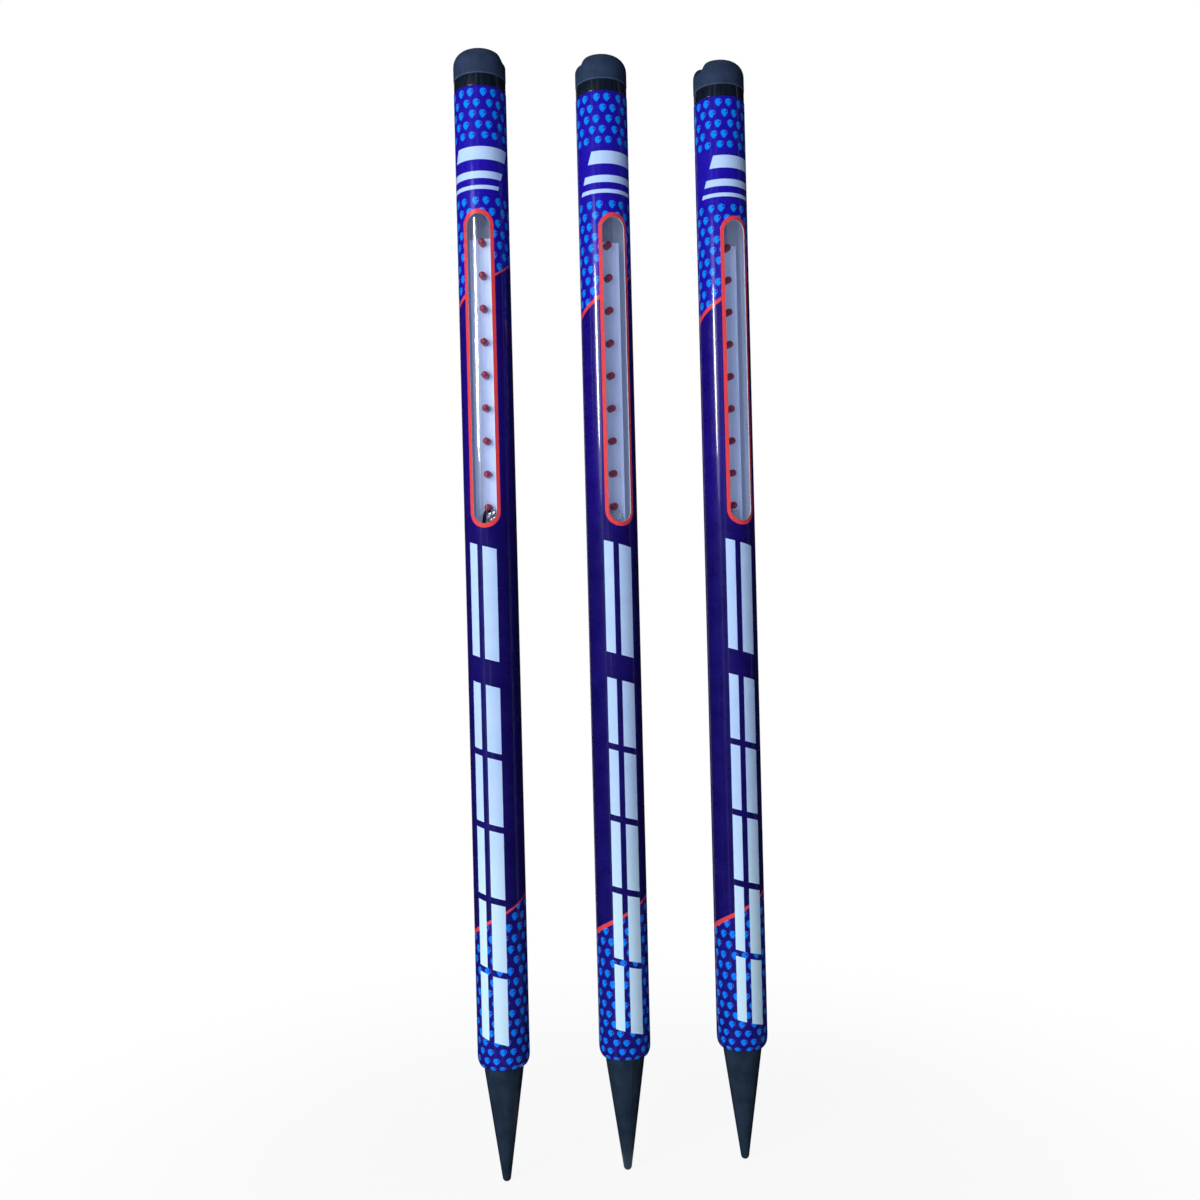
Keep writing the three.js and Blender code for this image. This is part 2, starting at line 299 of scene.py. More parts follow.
def drops(mat, across, height):
    """Masks of the drops, their dark nicks and the light edge beside each nick."""
    low = mat.at_least(mat.minus(SQUEEZE_HIGH, height), 0.0)
    height = mat.scaled(mat.squared(low), -SQUEEZE / SQUEEZE_HIGH, height)
    rows = mat.over(mat.minus(DROP_TOP, height), DROP_ROW)
    row = mat.math("ROUND", rows)
    up = mat.times(mat.minus(row, rows), DROP_ROW)
    period = tau * sleeve_radius / DROP_PERIODS
    turns = mat.over(mat.minus(across, DROP_START), period)
    turns = mat.scaled(row, -DROP_SHIFT, turns)
    masks = []
    for offset in (0.0, DROP_PAIR / period):
        part = mat.math("FRACT", mat.minus(turns, offset - 0.5))
        masks.append(one_drop(mat, mat.scaled(part, period, -period / 2), up))
    return [mat.either(a, b) for a, b in zip(*masks)]


def one_drop(mat, across, up):
    """Masks of one drop: round above, pointed below, with a nick at its right."""
    up = mat.minus(up, DROP_RISE)
    under = mat.at_least(mat.times(up, -1.0), 0.0)
    narrow = mat.scaled(mat.squared(mat.over(under, DROP_POINT)), DROP_NARROWING, 1.0)
    squeezed = mat.times(across, narrow)
    above = mat.at_least(up, 0.0)
    below = mat.times(under, DROP_RADIUS / DROP_POINT)
    body = mat.below(distance(mat, squeezed, mat.math("ADD", above, below)), DROP_RADIUS, DROP_BLUR)
    nick = mat.below(distance(mat, across, up, *NICK_PLACE), NICK_RADIUS)
    ring = mat.between(distance(mat, across, up), *GLINT_RING)
    near = mat.below(distance(mat, across, up, *GLINT_PLACE), GLINT_REACH)
    return body, nick, mat.both(ring, near)


def in_any(mat, value, spans):
    """Mask of a value that lies in any of some spans."""
    mask = 0.0
    for low, high in spans:
        mask = mat.either(mask, mat.between(value, low, high))
    return mask


def stripes(mat, across, height):
    """Mask of the plain pale stripes: two long ones side by side, cut by slanted gaps."""
    leaning = mat.scaled(across, -STRIPE_SLANT, height)
    runs = 0.0
    for low, high, count in STRIPE_RUNS:
        run = mat.between(leaning, low, high)
        length = (high - low + STRIPE_GAP) / count
        part = mat.math("FRACT", mat.over(mat.minus(leaning, low), length))
        solid = mat.below(mat.times(part, length), length - STRIPE_GAP)
        runs = mat.either(runs, mat.both(run, solid))
    return mat.both(in_any(mat, across, STRIPES), runs)


def bars(mat, across, height):
    """Mask of the short plain bars in the upper band, with slanted ends."""
    leaning = mat.scaled(height, -BAR_SLANT, mat.math("ADD", across, BAR_SLANT * BAND[0]))
    return mat.both(in_any(mat, height, BARS), mat.between(leaning, *BAR_ENDS))


def slanted(mat, across, height, line):
    """Mask of a slanted line that grows thinner to the right."""
    width = mat.scaled(across, -LINE_TAPER, LINE_WIDTH)
    return mat.between(height, mat.minus(line, width), line)


def window_distance(mat, across, height):
    """Distance to the window's middle line, measured on the skin."""
    offset = mat.math("ABSOLUTE", mat.minus(height, WINDOW_MID))
    return distance(mat, across, mat.at_least(mat.minus(offset, WINDOW_STRAIGHT), 0.0))


def printed_ground(mat, height, over_upper, under_lower, mottle):
    """Ground of the print: darkest below the window, bluer past each slanted line."""
    colour = mat.mix(mat.spread(height, *GROUND_CHANGE), shade(17, 9, 86), shade(24, 8, 110))
    colour = mat.mix(over_upper, colour, shade(29, 15, 162))
    colour = mat.mix(under_lower, colour, shade(24, 16, 116))
    return mat.tint(colour, mottle, 0.12, (54, 40, 162))


def printed_drops(mat, colour, masks, under_lower, fine):
    """A ground with drops on it, each with its nick and light edge."""
    body, nick, glint = masks
    blue = mat.mix(under_lower, shade(2, 132, 250), shade(2, 122, 250))
    blue = mat.tint(blue, fine, 0.3, (6, 150, 255))
    colour = mat.mix(body, colour, blue)
    colour = mat.mix(nick, colour, shade(20, 22, 128))
    return mat.tint(colour, glint, 0.7, (116, 128, 244))


def print_colour(mat, across, height):
    """Ground, drops, slanted lines, pale stripes and the line round the window."""
    upper = mat.scaled(across, *UPPER_LINE)
    lower = mat.scaled(across, *LOWER_LINE)
    over_upper = mat.below(upper, height)
    under_lower = mat.below(height, lower)
    plain = mat.between(height, *BAND)
    dotted = mat.both(mat.either(over_upper, under_lower), mat.minus(1.0, plain))
    masks = [mat.both(mask, dotted) for mask in drops(mat, across, height)]
    mottle = mat.spread(mat.noise(55.0, 4.0))
    fine = mat.spread(mat.noise(900.0, 2.0), 0.35, 0.65)

    colour = printed_ground(mat, height, over_upper, under_lower, mottle)
    colour = printed_drops(mat, colour, masks, under_lower, fine)
    lines = mat.either(slanted(mat, across, height, upper), slanted(mat, across, height, lower))
    colour = mat.mix(lines, colour, shade(222, 66, 70))
    white = mat.mix(mat.spread(height, *PALE_CHANGE), shade(200, 232, 255), shade(178, 206, 250))
    white = mat.tint(white, mottle, 0.2, (206, 232, 255))
    pale = mat.either(stripes(mat, across, height), bars(mat, across, height))
    colour = mat.mix(pale, colour, white)
    outline = mat.below(window_distance(mat, across, height), WINDOW_HALF + WINDOW_LINE)
    return mat.mix(outline, colour, mat.mix(fine, shade(216, 62, 66), shade(226, 72, 74)))


def printed_film():
    """Glossy printed shrink film with a darker seam at the back."""
    mat = Nodes("printed_film")
    across, height = mat.mapped(PRINT_MAP)
    off_seam = mat.below(mat.math("ABSOLUTE", across), pi * sleeve_radius - SEAM_HALF)
    on_seam = mat.scaled(off_seam, -SEAM_SHADE, SEAM_SHADE)
    colour = mat.mix(on_seam, print_colour(mat, across, height), shade(18, 8, 70))
    waves = mat.noise(160.0, 2.0, 0.4, upright=0.06)
    relief = mat.scaled(mat.noise(1500.0, 2.0), 0.04, mat.scaled(off_seam, -SEAM_STEP, waves))
    normal = mat.bump(relief, 0.12, 0.00025)
    rough = mat.spread(mat.noise(90.0, 5.0, 0.6), to_low=0.24, to_high=0.34)
    return mat.finish(
        colour, rough, Normal=normal, Coat_Normal=normal,
        Coat_Weight=0.75, Coat_Roughness=0.035, Specular_IOR_Level=0.12)


def film_back():
    """Back of the print, seen inside the clear tube: pale cool blue with soft upright streaks, one
    lighter upright band of painted light, and a painted glow.
    """
    mat = Nodes("film_back")
    across, _ = mat.mapped(PRINT_MAP)
    colour = mat.mottled(mat.noise(260.0, 2.0, upright=0.03), (200, 213, 250), (216, 227, 255))
    # Painted light: a soft lighter upright band
    painted_light_band = mat.between(across, *BACK_LIGHT_BAND, BACK_LIGHT_BAND_BLUR)
    colour = mat.tint(colour, painted_light_band, 0.7, (238, 244, 255))
    # Painted glow in place of light inside the tube
    return mat.finish(colour, 0.45, Emission_Color=PAINTED_GLOW_COLOUR, Emission_Strength=FILM_PAINTED_GLOW)


def film_edge_highlight():
    """Cut edge of the film, pale and faintly mottled: partly the film's own pale edge, partly a painted
    highlight.
    """
    mat = Nodes("film_edge_highlight")
    mottle = mat.spread(mat.noise(400.0), 0.35, 0.65)
    # Pale edge colour: partly the film's own, partly a painted highlight
    colour = mat.mix(mottle, shade(206, 214, 232), shade(232, 236, 246))
    return mat.finish(colour, 0.3)


def clear_tube():
    """Clear tube wall: see-through, with a shine that grows towards its edges."""
    mat = Nodes("clear_tube")
    haze = mat.noise(240.0, 3.0, 0.6, upright=0.12)
    ripple = mat.bump(haze, 0.025, 0.0002)
    clear = mat.node("BsdfTransparent", Color=(0.985, 0.99, 1.0, 1.0))
    shine = mat.node("BsdfGlossy", Color=(0.95, 0.97, 1.0, 1.0), Roughness=0.035, Normal=ripple)
    facing = mat.node("LayerWeight", Blend=0.5).outputs["Facing"]
    share = mat.scaled(mat.math("POWER", facing, GLASS_POWER), GLASS_EDGE, GLASS_SHINE)
    share = mat.scaled(mat.spread(haze, 0.45, 0.8), 0.02, share, clamp=True)
    return mat.done(mat.mix_shaders(share, clear.outputs[0], shine.outputs[0]))


def rubber():
    """Matt cap rubber with a fine grain, a little dust and a painted highlight: a paler line along its
    lower edge.
    """
    mat = Nodes("cap_rubber")
    height = mat.axes()[2]
    grain = mat.noise(2600.0, 3.0, 0.6)
    cloud = mat.noise(120.0, 4.0, 0.6)
    colour = mat.mottled(cloud, (37, 50, 74), (44, 59, 85))
    dust = mat.spread(mat.noise(700.0, 4.0, 0.7), 0.62, 0.74)
    colour = mat.tint(colour, dust, 0.10, (96, 108, 130))
    # Painted highlight: a paler line along the cap's lower edge
    rim = mat.between(height, skirt_low, skirt_low + CAP_RIM_HIGHLIGHT, CAP_RIM_HIGHLIGHT / 3)
    colour = mat.tint(colour, rim, 0.25, (104, 122, 160))
    return mat.finish(
        colour, mat.spread(grain, to_low=0.52, to_high=0.66), Specular_IOR_Level=0.1,
        Normal=mat.bump(mat.scaled(cloud, 0.8, grain), 0.20, 0.00012))


def satin_black():
    """Moulded spike: satin black with faint lengthwise drag marks."""
    mat = Nodes("spike_satin_black")
    drag = mat.noise(420.0, 4.0, 0.6, upright=0.05)
    cloud = mat.noise(90.0, 3.0, 0.5)
    colour = mat.mottled(cloud, (26, 40, 56), (34, 50, 68))
    scuff = mat.both(mat.spread(drag, 0.60, 0.72), mat.spread(mat.noise(60.0), 0.5, 0.65))
    colour = mat.tint(colour, scuff, 0.25, (80, 92, 112))
    relief = mat.scaled(drag, 0.7, mat.noise(1400.0, 2.0))
    return mat.finish(
        colour, mat.spread(cloud, to_low=0.36, to_high=0.46),
        Normal=mat.bump(relief, 0.14, 0.00012), Specular_IOR_Level=0.22)


def gloss_black():
    """Collar of the top plug: polished black with faint upright flow lines."""
    mat = Nodes("collar_gloss_black")
    lines = mat.noise(520.0, 2.0, upright=0.05)
    return mat.finish(
        mat.mottled(lines, (14, 21, 34), (21, 30, 46)), mat.spread(lines, 0.35, 0.65, 0.18, 0.26),
        Normal=mat.bump(lines, 0.12, 0.00015), Coat_Weight=0.5, Coat_Roughness=0.08)


def pale_channel():
    """Pale extruded strip with lengthwise lines, a line of painted shade along a groove beside the lamps,
    a faint joint and a painted glow.
    """
    mat = Nodes("pale_channel")
    across, height = mat.mapped(STRIP_MAP)
    lines = mat.noise(900.0, 2.0, upright=0.01)
    colour = mat.mottled(lines, (198, 213, 252), (210, 224, 255))
    # Painted shade: a darker line along a groove beside the lamps
    groove = mat.between(across, *STRIP_GROOVE_SHADE, 0.0001)
    colour = mat.tint(colour, groove, 0.55, (104, 114, 168))
    joint = mat.between(height, *STRIP_JOINT, 0.0002)
    colour = mat.tint(colour, joint, 0.4, (120, 128, 176))
    specks = mat.spread(mat.noise(1100.0, 3.0), 0.68, 0.75)
    colour = mat.tint(colour, specks, 0.25, (150, 156, 190))
    # Painted glow: the strip gives off a little light of its own
    return mat.finish(
        colour, 0.42, Normal=mat.bump(lines, 0.15, 0.0001),
        Emission_Color=PAINTED_GLOW_COLOUR, Emission_Strength=STRIP_PAINTED_GLOW)


def lamp_resin():
    """Tinted lamp resin: glossy crimson with a soft mottle."""
    mat = Nodes("lamp_resin")
    colour = mat.mottled(mat.noise(700.0, 2.0), (156, 51, 75), (172, 63, 88))
    return mat.finish(
        colour, 0.2, Specular_IOR_Level=0.3, Coat_Weight=0.2, Coat_Roughness=0.04)


def solder_tin():
    """Bright solder with fine scratches."""
    mat = Nodes("solder_tin")
    colour = mat.mottled(mat.noise(800.0, 4.0), (196, 200, 208), (232, 234, 238))
    scratches = mat.noise(900.0, 3.0, 0.6)
    return mat.finish(colour, 0.3, Metallic=1.0, Normal=mat.bump(scratches, 0.2, 0.0001))


def moulded(name, low, high, rough):
    """Plain moulded plastic with a light mottle and a fine grain."""
    mat = Nodes(name)
    fine = mat.noise(1800.0, 3.0)
    return mat.finish(
        mat.mottled(mat.noise(120.0, 4.0), low, high),
        mat.spread(fine, to_low=rough, to_high=rough + 0.12), Normal=mat.bump(fine, 0.15, 0.0001))


def circuit_board():
    """Green solder mask with a faint net of copper tracks."""
    mat = Nodes("circuit_board")
    x, _, height = mat.axes()
    track = mat.between(mat.math("FRACT", mat.over(x, TRACK_PITCH)), 0.42, 0.58, 0.05)
    cross = mat.between(mat.math("FRACT", mat.over(height, TRACK_LEVELS)), 0.47, 0.53, 0.02)
    colour = mat.mix(mat.either(track, cross), shade(22, 82, 46), shade(40, 112, 66))
    rough = mat.spread(mat.noise(600.0), to_low=0.28, to_high=0.4)
    return mat.finish(colour, rough, Coat_Weight=0.3, Coat_Roughness=0.1)


def cell_wrap():
    """Shrink wrap of the cell: blue with soft creases."""
    mat = Nodes("cell_wrap")
    creases = mat.noise(500.0, 3.0, upright=0.3)
    return mat.finish(
        mat.mottled(creases, (32, 84, 156), (44, 98, 172)), 0.28,
        Coat_Weight=0.4, Coat_Roughness=0.08, Normal=mat.bump(creases, 0.3, 0.0002))


def glue():
    """Crumpled hot glue, milky and glossy, with dark specks."""
    mat = Nodes("milky_glue")
    folds = mat.spread(mat.cells(700.0), 0.1, 0.5)
    colour = mat.mix(folds, shade(176, 188, 216), shade(222, 230, 250))
    specks = mat.spread(mat.noise(1500.0, 3.0), 0.66, 0.72)
    return mat.finish(
        mat.tint(colour, specks, 0.7, (40, 46, 66)), 0.22, Coat_Weight=0.4,
        Coat_Roughness=0.06, Normal=mat.bump(mat.noise(1300.0, 3.0), 0.5, 0.0003))


# Mesh helpers


def rounded(corners, steps=4, closed=False):
    """An outline from corners of (across, up, rounding); a rounding of 0 keeps a corner."""
    points = []
    count = len(corners)
    for i, (x, y, radius) in enumerate(corners):
        here = Vector((x, y))
        if radius == 0 or (not closed and i in (0, count - 1)):
            points.append((x, y))
            continue
        back = (Vector(corners[i - 1][:2]) - here).normalized()
        ahead = (Vector(corners[(i + 1) % count][:2]) - here).normalized()
        half = back.angle(ahead) / 2
        centre = here + (back + ahead).normalized() * (radius / sin(half))
        start = here + back * (radius / tan(half)) - centre
        end = here + ahead * (radius / tan(half)) - centre
        sweep = start.angle_signed(end)
        for k in range(steps + 1):
            turn = Matrix.Rotation(-sweep * k / steps, 2)
            points.append(tuple(centre + turn @ start))
    return points


def polar(far, angle, height):
    """A point at a distance from the Z axis, its angle measured from the front."""
    return far * sin(angle), -far * cos(angle), height


def turned(outline, segments=ROUND, closed=False, bulge=None):
    """Points and faces of an outline of (radius, height) turned about Z."""
    points, rows = [], []
    for radius, height in outline:
        start = len(points)
        if radius < TINY:
            points.append((0.0, 0.0, height))
            rows.append([start])
            continue
        for i in range(segments):
            angle = tau * i / segments
            far = radius + (bulge(angle, height) if bulge else 0.0)
            points.append(polar(far, angle, height))
        rows.append(list(range(start, start + segments)))
    pairs = list(zip(rows, rows[1:]))
    if closed:
        pairs.append((rows[-1], rows[0]))
    faces = []
    for low, high in pairs:
        for i in range(segments):
            j = (i + 1) % segments
            ring = [low[i % len(low)], low[j % len(low)], high[j % len(high)], high[i % len(high)]]
            face = list(dict.fromkeys(ring))
            if len(face) > 2:
                faces.append(face)
    return points, faces


def extruded(outline, low, high):
    """Points and faces of a closed outline of (x, y) between two heights."""
    count = len(outline)
    points = [(x, y, height) for height in (low, high) for x, y in outline]
    faces = [list(range(count)), list(range(count, 2 * count))]
    for i in range(count):
        j = (i + 1) % count
        faces.append([i, j, count + j, count + i])
    return points, faces


def together(*shapes):
    """Several shapes as one list of points and faces."""
    points, faces = [], []
    for more_points, more_faces in shapes:
        start = len(points)
        points += list(more_points)
        faces += [[start + i for i in face] for face in more_faces]
    return points, faces


def moved(shape, matrix):
    points, faces = shape
    return [tuple(matrix @ Vector(p)) for p in points], faces


def tidy_mesh(mesh, weld=True):
    """Turn a mesh's faces outwards, after joining the points that lie together."""
    work = bmesh.new()
    work.from_mesh(mesh)
    if weld:
        bmesh.ops.remove_doubles(work, verts=work.verts, dist=TINY)
    bmesh.ops.recalc_face_normals(work, faces=work.faces)
    work.to_mesh(mesh)
    work.free()


def coat(mesh, *materials):
    mesh.materials.clear()
    for material in materials:
        mesh.materials.append(material)


def smooth(mesh):
    mesh.shade_smooth()
    mesh.set_sharp_from_angle(angle=SHARP_ANGLE)


def make_mesh(name, shape, *materials):
    """A smooth mesh whose faces point out and whose sharp edges stay sharp."""
    points, faces = shape
    mesh = bpy.data.meshes.new(name)
    mesh.from_pydata(points, [], faces)
    tidy_mesh(mesh)
    coat(mesh, *materials)
    smooth(mesh)
    return mesh


def add_object(name, data):
    """A new object in the scene."""
    made = bpy.data.objects.new(name, data)
    scene.collection.objects.link(made)
    return made


def settled(name, mesh, modifiers):
    """A mesh after some modifiers, each given as (kind, settings)."""
    work = add_object(name, mesh)
    for kind, settings in modifiers:
        modifier = work.modifiers.new(kind.lower(), kind)
        for key, value in settings.items():
            setattr(modifier, key, value)
    bpy.context.view_layer.update()
    graph = bpy.context.evaluated_depsgraph_get()
    result = bpy.data.meshes.new_from_object(work.evaluated_get(graph))
    bpy.data.objects.remove(work)
    result.name = name
    result.shade_smooth()
    return result


def cut(name, mesh, cutter):
    """A mesh less a cutter's shape."""
    tool = add_object(name + "_cutter", cutter)
    settings = {"operation": "DIFFERENCE", "solver": "EXACT", "object": tool}
    result = settled(name, mesh, [("BOOLEAN", settings)])
    bpy.data.objects.remove(tool)
    return result


def add_piece(stump, name, mesh, body, slot, *nodes, place=None):
    """A piece of one stump: a copy of a mesh, set in the stump's axes, that rides on one body."""
    own = mesh.copy()
    own.transform(stump.matrix @ (place or Matrix.Identity(4)))
    piece = add_object(f"{stump.side}_{name}", own)
    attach(piece, f"{stump.side}_{body}")
    if nodes:
        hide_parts(*[f"{stump.side}_{node}" for node in nodes])


# Measures from the frame


def points_of(node):
    return [vertex.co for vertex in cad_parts[node].data.vertices]


class Stump:
    """One stump's side, its axis and its turn about it, all read from the frame."""

    def __init__(self, side):
        self.side = side
        low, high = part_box(f"{side}_tube")
        self.axis = (low.x + high.x) / 2
        points = points_of(f"{side}_led_5")
        middle = sum(points, Vector()) / len(points)
        turn = atan2(middle.x - self.axis, -middle.y)
        self.matrix = Matrix.Translation((self.axis, 0, 0)) @ Matrix.Rotation(turn, 4, "Z")

    def radii(self, node):
        """Least and greatest distance of a node's points from the axis."""
        far = [hypot(p.x - self.axis, p.y) for p in points_of(f"{self.side}_{node}")]
        return min(far), max(far)

    def heights(self, node):
        low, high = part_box(f"{self.side}_{node}")
        return low.z, high.z

    def local(self, node):
        """A node's points in the stump's own axes."""
        back = self.matrix.inverted()
        return [back @ p for p in points_of(f"{self.side}_{node}")]


# Sizes of the pieces that their boxes don't give
SEAT_GAP = 0.0003
CURL_RISE = 0.0075
CURL_IN = 0.0035
CURL_STEPS = 10
NECK_RADIUS = 0.014
NECK_RISE = 0.0015
TIP_RADIUS = 0.003
TIP_STEPS = 10
PARTING_RIDGE = 0.00014
PARTING_SPREAD = 0.03
COLLAR_RISE = 0.0085
SOCKET_RADIUS = 0.0113
SOCKET_FLOOR = 0.6769
SEAT_RADIUS = 0.0043
SEAT_FLOOR = 0.6719
BUTTON_RADIUS = 0.004
BUTTON_LAND = 0.0012
BUTTON_STEP = 0.0004
BUTTON_DISH = 0.0007
GROOVE_DEPTH = 0.0095
GROOVE_WIDTH = 0.012
GROOVE_FILLET = 0.003
GROOVE_LIP = 0.0035
CUT_OVER = 0.004
CAP_SKIRT = 0.0208
# Height of the painted highlight along the cap's lower edge
CAP_RIM_HIGHLIGHT = 0.0007
CAP_CORNER = 0.01
CAP_CROWN = 0.0004
CAP_PLUG_RADIUS = 0.011
CAP_PLUG_BORE = 0.008
CAP_HOLLOW_RISE = 0.0035
CAP_VOXEL = 0.00042
CHANNEL_FACE = 0.003
CHANNEL_FACE_WALL = 0.0008
CHANNEL_SIDE_WALL = 0.0012
CHANNEL_LIP = 0.0009
CHANNEL_LIP_RISE = 0.0004
LAMP_HOLE = 0.00256
LAMP_RADIUS = 0.0025
LAMP_FLANGE = 0.0029
LAMP_FLANGE_THICK = 0.001

# Glue, solder and a wire's end at the window's foot, in the stump's own axes
GLUE_FACE = -CHANNEL_FACE - 0.0004
GLUE_CENTRE = (0.0005, GLUE_FACE, 0.3835)
GLUE_SIZE = (0.0068, 0.0016, 0.005)
GLUE_LUMPS = 0.45
GLUE_SEEDS = (1.3, 5.0, 8.7)
SOLDER_CENTRE = (0.0022, GLUE_FACE - 0.0012, 0.3838)
SOLDER_SIZE = (0.0044, 0.0016, 0.0056)
SOLDER_LUMPS = 0.6
SOLDER_SEED = 9.1
LUMP_SCALE = 1.8
LUMP_NOISE = (0.9, 2.1, 5)
CREASE_SCALE = 4.5
WIRE_RADIUS = 0.00115
WIRE_KNOTS = (
    # across, out from the glue's face, height
    (-0.0036, 0.0, 0.378), (-0.0036, 0.0022, 0.3815), (-0.0026, 0.0028, 0.3862),
    (-0.001, 0.0024, 0.3888), (0.0008, 0.0014, 0.388), (0.0016, 0.0, 0.3862),
)

stumps = [Stump(side) for side in SIDES]
model = stumps[1]
bore_radius, tube_radius = model.radii("tube")
tube_low, tube_high = model.heights("tube")
sleeve_radius = model.radii("sleeve")[1]
sleeve_high = model.heights("sleeve")[1]
cap_low, cap_high = model.heights("cap")
skirt_low = cap_high - CAP_SKIRT
plug_low, plug_high = model.heights("top_plug")
spike_low, spike_high = model.heights("spike")
channel_low, channel_high = model.heights("led_channel")
lamp_boxes = [model.heights(f"led_{number}") for number in range(1, LAMP_COUNT + 1)]
lamp_heights = [(low + high) / 2 for low, high in lamp_boxes]
lamp_depths = [p.y for p in model.local("led_5")]
lamp_foot = max(lamp_depths)


# Shapes


def parting_ridge(angle, height):
    """Rise of the two thin mould lines down the sides of the spike."""
    if height > 0:
        return 0.0
    off = abs((angle + pi / 2) % pi - pi / 2)
    return PARTING_RIDGE * exp(-(off / PARTING_SPREAD) ** 2)


def spike_shape():
    """Spike: round tip, cone, shoulder, and the spigot in the tube."""
    tip = spike_low + TIP_RADIUS
    rise = -NECK_RISE - tip
    lean = atan2(NECK_RADIUS, rise) - asin(TIP_RADIUS / hypot(NECK_RADIUS, rise))
    outline = [(0.0, spike_low)]
    for k in range(1, TIP_STEPS + 1):
        angle = (pi / 2 - lean) * k / TIP_STEPS
        outline.append((TIP_RADIUS * sin(angle), tip - TIP_RADIUS * cos(angle)))
    outline += rounded([
        (*outline[-1], 0),
        (NECK_RADIUS, -NECK_RISE, 10 * EASE),
        (NECK_RADIUS, 0.0, 0),
    ])[1:]
    edge = tube_radius - CURL_IN
    for k in range(CURL_STEPS + 1):
        angle = pi / 2 * k / CURL_STEPS
        outline.append((edge + CURL_IN * sin(angle), CURL_RISE * (1 - cos(angle))))
    spigot = bore_radius - SEAT_GAP
    outline += rounded([
        (tube_radius, CURL_RISE, 0),
        (spigot, CURL_RISE, 0),
        (spigot, spike_high, 6 * EASE),
        (0.0, spike_high, 0),
    ])[1:]
    return turned(outline, FINE_ROUND, bulge=parting_ridge)


def tube_shape():
    return turned(rounded([
        (bore_radius, tube_low, 4 * EASE), (tube_radius, tube_low, 4 * EASE),
        (tube_radius, tube_high, 4 * EASE), (bore_radius, tube_high, 4 * EASE),
    ], 3, closed=True), ROUND, closed=True)


def skin_radius(height, outside):
    """Radius of the skin at a height: straight above, curled round the spike's shoulder below."""
    if height >= CURL_RISE:
        return tube_radius + outside
    drop = min((CURL_RISE - height) / (CURL_RISE + outside), 1.0)
    return tube_radius - CURL_IN + (CURL_IN + outside) * sqrt(1 - drop ** 2)


def sleeve_columns():
    """Angles across the skin, close together over the window, and the window's half angle."""
    half = asin(WINDOW_HALF / sleeve_radius)
    inner = [-half * cos(pi * k / WINDOW_STEPS) for k in range(WINDOW_STEPS + 1)]
    rest = tau - 2 * half
    outer = [half + rest * k / SLEEVE_COLUMNS for k in range(1, SLEEVE_COLUMNS)]
    return inner + outer, half


def sleeve_levels(low, high):
    return [low + (high - low) * k / SLEEVE_LEVELS for k in range(SLEEVE_LEVELS + 1)]


def shoulder_levels(outside, rim):
    """Heights from the rim to the shoulder's top, close together where the skin curls in."""
    reach = CURL_RISE + outside
    start = acos(min((CURL_RISE - rim) / reach, 1.0))
    sweep = pi / 2 - start
    angles = [start + sweep * k / CURL_STEPS for k in range(CURL_STEPS)]
    return [CURL_RISE - reach * cos(angle) for angle in angles]


def rim_height(angle, seed):
    """Height of the film's lower rim, which is cut a little unevenly."""
    tilt = sin(angle + RIM_TILT_SEED * seed)
    way = Vector((sin(angle), cos(angle), 0.0)) * RIM_WAVE_SCALE
    wave = noise.noise(way + Vector((0.0, 0.0, RIM_WAVE_SEED * seed)))
    return RIM_RISE * (1 + tilt) + RIM_WAVE * wave


def skin_shape(outside, seed):
    """One side of the skin: points, faces, and each column's start and counts of points."""
    columns, half = sleeve_columns()
    points, faces, strips = [], [], []
    for angle in columns:
        within = abs(angle) <= half + TINY
        share = min(abs(sin(angle)) * sleeve_radius / WINDOW_HALF, 1.0) if within else 1.0
        rise = WINDOW_HALF * sqrt(max(1 - share ** 2, 0.0))
        below = shoulder_levels(outside, rim_height(angle, seed))
        below += sleeve_levels(CURL_RISE, WINDOW_MID - WINDOW_STRAIGHT - rise)
        above = sleeve_levels(WINDOW_MID + WINDOW_STRAIGHT + rise, sleeve_high)
        start = len(points)
        for height in below + above:
            points.append(polar(skin_radius(height, outside), angle, height))
        strips.append((start, len(below), len(above)))
    for i, (start, below, above) in enumerate(strips):
        other = strips[(i + 1) % len(strips)][0]
        for k in range(below + above - 1):
            if k == below - 1 and i < WINDOW_STEPS:
                continue
            faces.append([start + k, other + k, other + k + 1, start + k + 1])
    return points, faces, strips


def skin_edges(strips, shift):
    """Faces along the rims and round the window that join the two sides of the skin."""
    faces = []
    for i, (start, below, above) in enumerate(strips):
        other = strips[(i + 1) % len(strips)][0]
        ends = [0, below + above - 1]
        if i < WINDOW_STEPS:
            ends += [below - 1, below]
        for k in ends:
            faces.append([start + k, other + k, shift + other + k, shift + start + k])
    for start, below, _ in (strips[0], strips[WINDOW_STEPS]):
        k = start + below - 1
        faces.append([k, k + 1, shift + k + 1, shift + k])
    return faces


def add_print_map(mesh):
    """The print's map: metres across the skin from the window's middle, and up it."""
    layer = mesh.uv_layers.new(name=PRINT_MAP)
    for face in mesh.polygons:
        middle = atan2(face.center.x, -face.center.y)
        for loop in face.loop_indices:
            point = mesh.vertices[mesh.loops[loop].vertex_index].co
            turn = atan2(point.x, -point.y)
            turn += tau * round((middle - turn) / tau)
            curl = CURL_SHARE * max(sleeve_radius - SLEEVE_WALL - hypot(point.x, point.y), 0.0)
            layer.data[loop].uv = (turn * sleeve_radius, point.z - curl)


def add_strip_map(mesh):
    """The strip's map: metres across it and metres up it."""
    layer = mesh.uv_layers.new(name=STRIP_MAP)
    for loop in mesh.loops:
        point = mesh.vertices[loop.vertex_index].co
        layer.data[loop.index].uv = (point.x, point.z)


